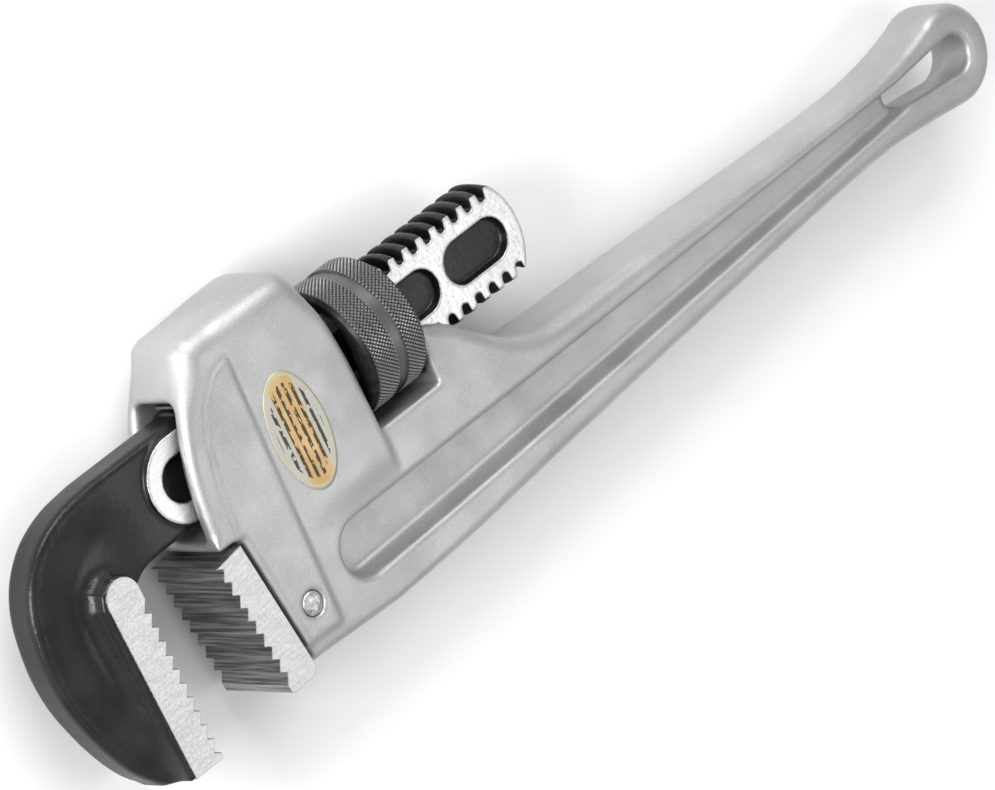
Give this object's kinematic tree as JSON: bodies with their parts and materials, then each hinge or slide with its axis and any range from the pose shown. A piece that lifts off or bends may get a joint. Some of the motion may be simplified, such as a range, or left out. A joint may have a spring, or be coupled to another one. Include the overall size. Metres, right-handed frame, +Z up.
{
  "type": "pipe wrench",
  "caption": "Straight pipe wrench with an I-section cast handle, knurled adjusting nut, threaded hook jaw and pinned heel jaw.",
  "frame": {"origin": "middle of the overall box in X and Y, at the lowest point of the tool lying on its side, which is the nut's rim", "axes": "+X along the handle away from the jaws, +Y across the tool towards the shank and the nut, +Z up through the tool's thickness"},
  "size_m": [0.345, 0.0906, 0.036],
  "materials": {
    "cast_aluminium": "bead-blasted casting with soft edges",
    "black_forging": "black oxide forging with bright ground pads and teeth",
    "dark_steel": "dark oxide, fine knurl",
    "ground_steel": "ground and hardened",
    "spring_steel": "oiled spring steel",
    "gold_foil": "satin gold foil decal with plain ruled lines"
  },
  "bodies": {
    "handle": {"handle": "cast_aluminium", "heel_jaw": "ground_steel", "heel_jaw_pin": "ground_steel", "coil_spring": "spring_steel", "rating_label": "gold_foil"},
    "rocking_shoe": {"flat_spring": "spring_steel"},
    "hook": {"hook_jaw": "black_forging"},
    "nut": {"adjusting_nut": "dark_steel"}
  },
  "joints": [
    {"name": "jaw_rock", "type": "hinge", "parent": "handle", "child": "rocking_shoe", "pos_m": [-0.05096, 0.0151, 0.018], "axis": [0, 0, 1], "range_deg": [-1.2, 1.8], "stiffness_Nm_per_rad": 40},
    {"name": "jaw_slide", "type": "slide", "parent": "rocking_shoe", "child": "hook", "axis": [-1, 0, 0], "range_m": [-0.0195, 0.0357]},
    {"name": "nut_spin", "type": "hinge", "parent": "rocking_shoe", "child": "nut", "pos_m": [-0.05096, 0.0151, 0.018], "axis": [1, 0, 0], "range_deg": [-1500, 2600]}
  ],
  "couplings": [
    {"joint": "nut_spin", "follows": "jaw_slide", "rad_per_m": 1236.8}
  ]
}
